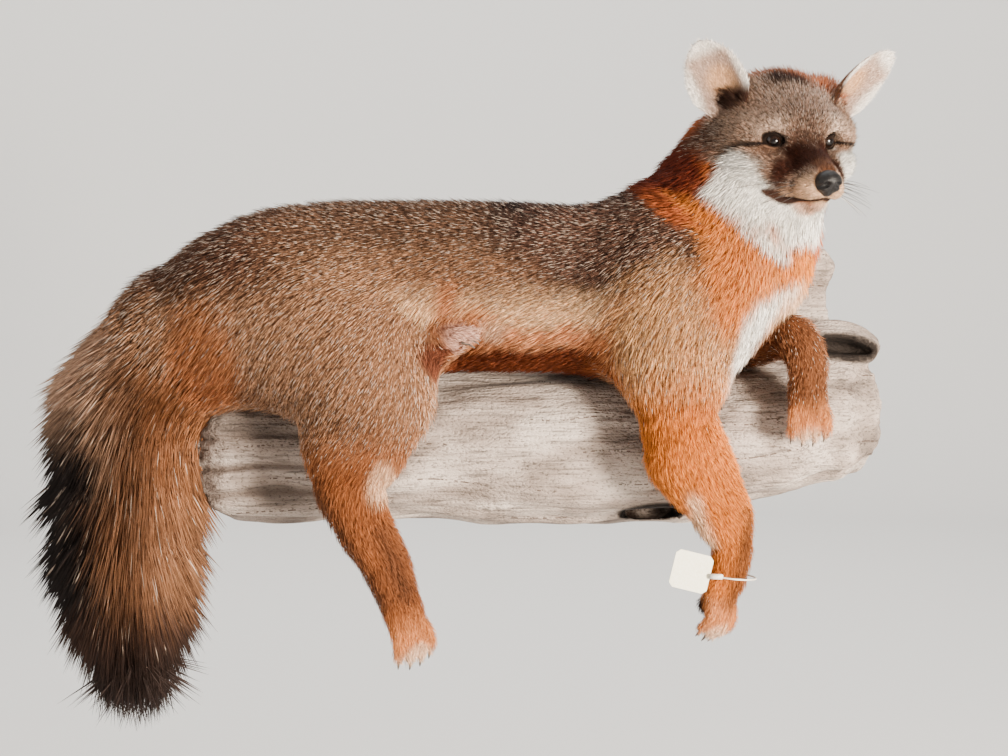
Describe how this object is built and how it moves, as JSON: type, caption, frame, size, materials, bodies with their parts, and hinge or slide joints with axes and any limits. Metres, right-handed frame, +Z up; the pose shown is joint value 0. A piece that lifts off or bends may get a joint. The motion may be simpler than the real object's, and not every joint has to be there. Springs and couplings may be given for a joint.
{
  "type": "taxidermy fox",
  "caption": "Life-size wall-hung taxidermy gray fox, draped along a flat-backed driftwood log with its legs and tail hanging and its head turned to the viewer.",
  "frame": {"origin": "on the log's flat back, where it meets the wall, halfway up and near the middle of its length", "axes": "+X along the log from the tail to the head, +Y into the wall, +Z up"},
  "size_m": [0.6776, 0.1796, 0.5209],
  "materials": {
    "wood": "weathered, dull",
    "coat_grizzled": "short banded fur",
    "coat_rust": "short soft fur",
    "coat_tan": "long bushy fur",
    "coat_black": "long bushy fur",
    "ear_lining": "thin fur on skin",
    "eye": "polished",
    "nose": "moist, pebbled",
    "card": "plain card",
    "clear_plastic": "milky"
  },
  "bodies": {
    "root": {"log": "wood", "log_stub": "wood", "head": "coat_grizzled", "nose": "nose", "eye_right": "eye", "eye_left": "eye", "ear_right": "ear_lining", "ear_left": "ear_lining", "neck": "coat_rust", "chest": "coat_grizzled", "loin": "coat_grizzled", "rump": "coat_grizzled", "tail_base": "coat_tan", "tail_middle": "coat_tan", "tail_tip": "coat_black", "foreleg_right_shoulder": "coat_grizzled", "foreleg_right_forearm": "coat_rust", "foreleg_right_paw": "coat_rust", "foreleg_left_shoulder": "coat_grizzled", "foreleg_left_forearm": "coat_rust", "foreleg_left_paw": "coat_rust", "hindleg_right_thigh": "coat_grizzled", "hindleg_right_shank": "coat_rust", "hindleg_right_foot": "coat_rust", "hindleg_right_paw": "coat_rust", "hindleg_left_thigh": "coat_grizzled", "hindleg_left_foot": "coat_rust", "tag": "card", "tag_loop": "clear_plastic"}
  },
  "joints": []
}
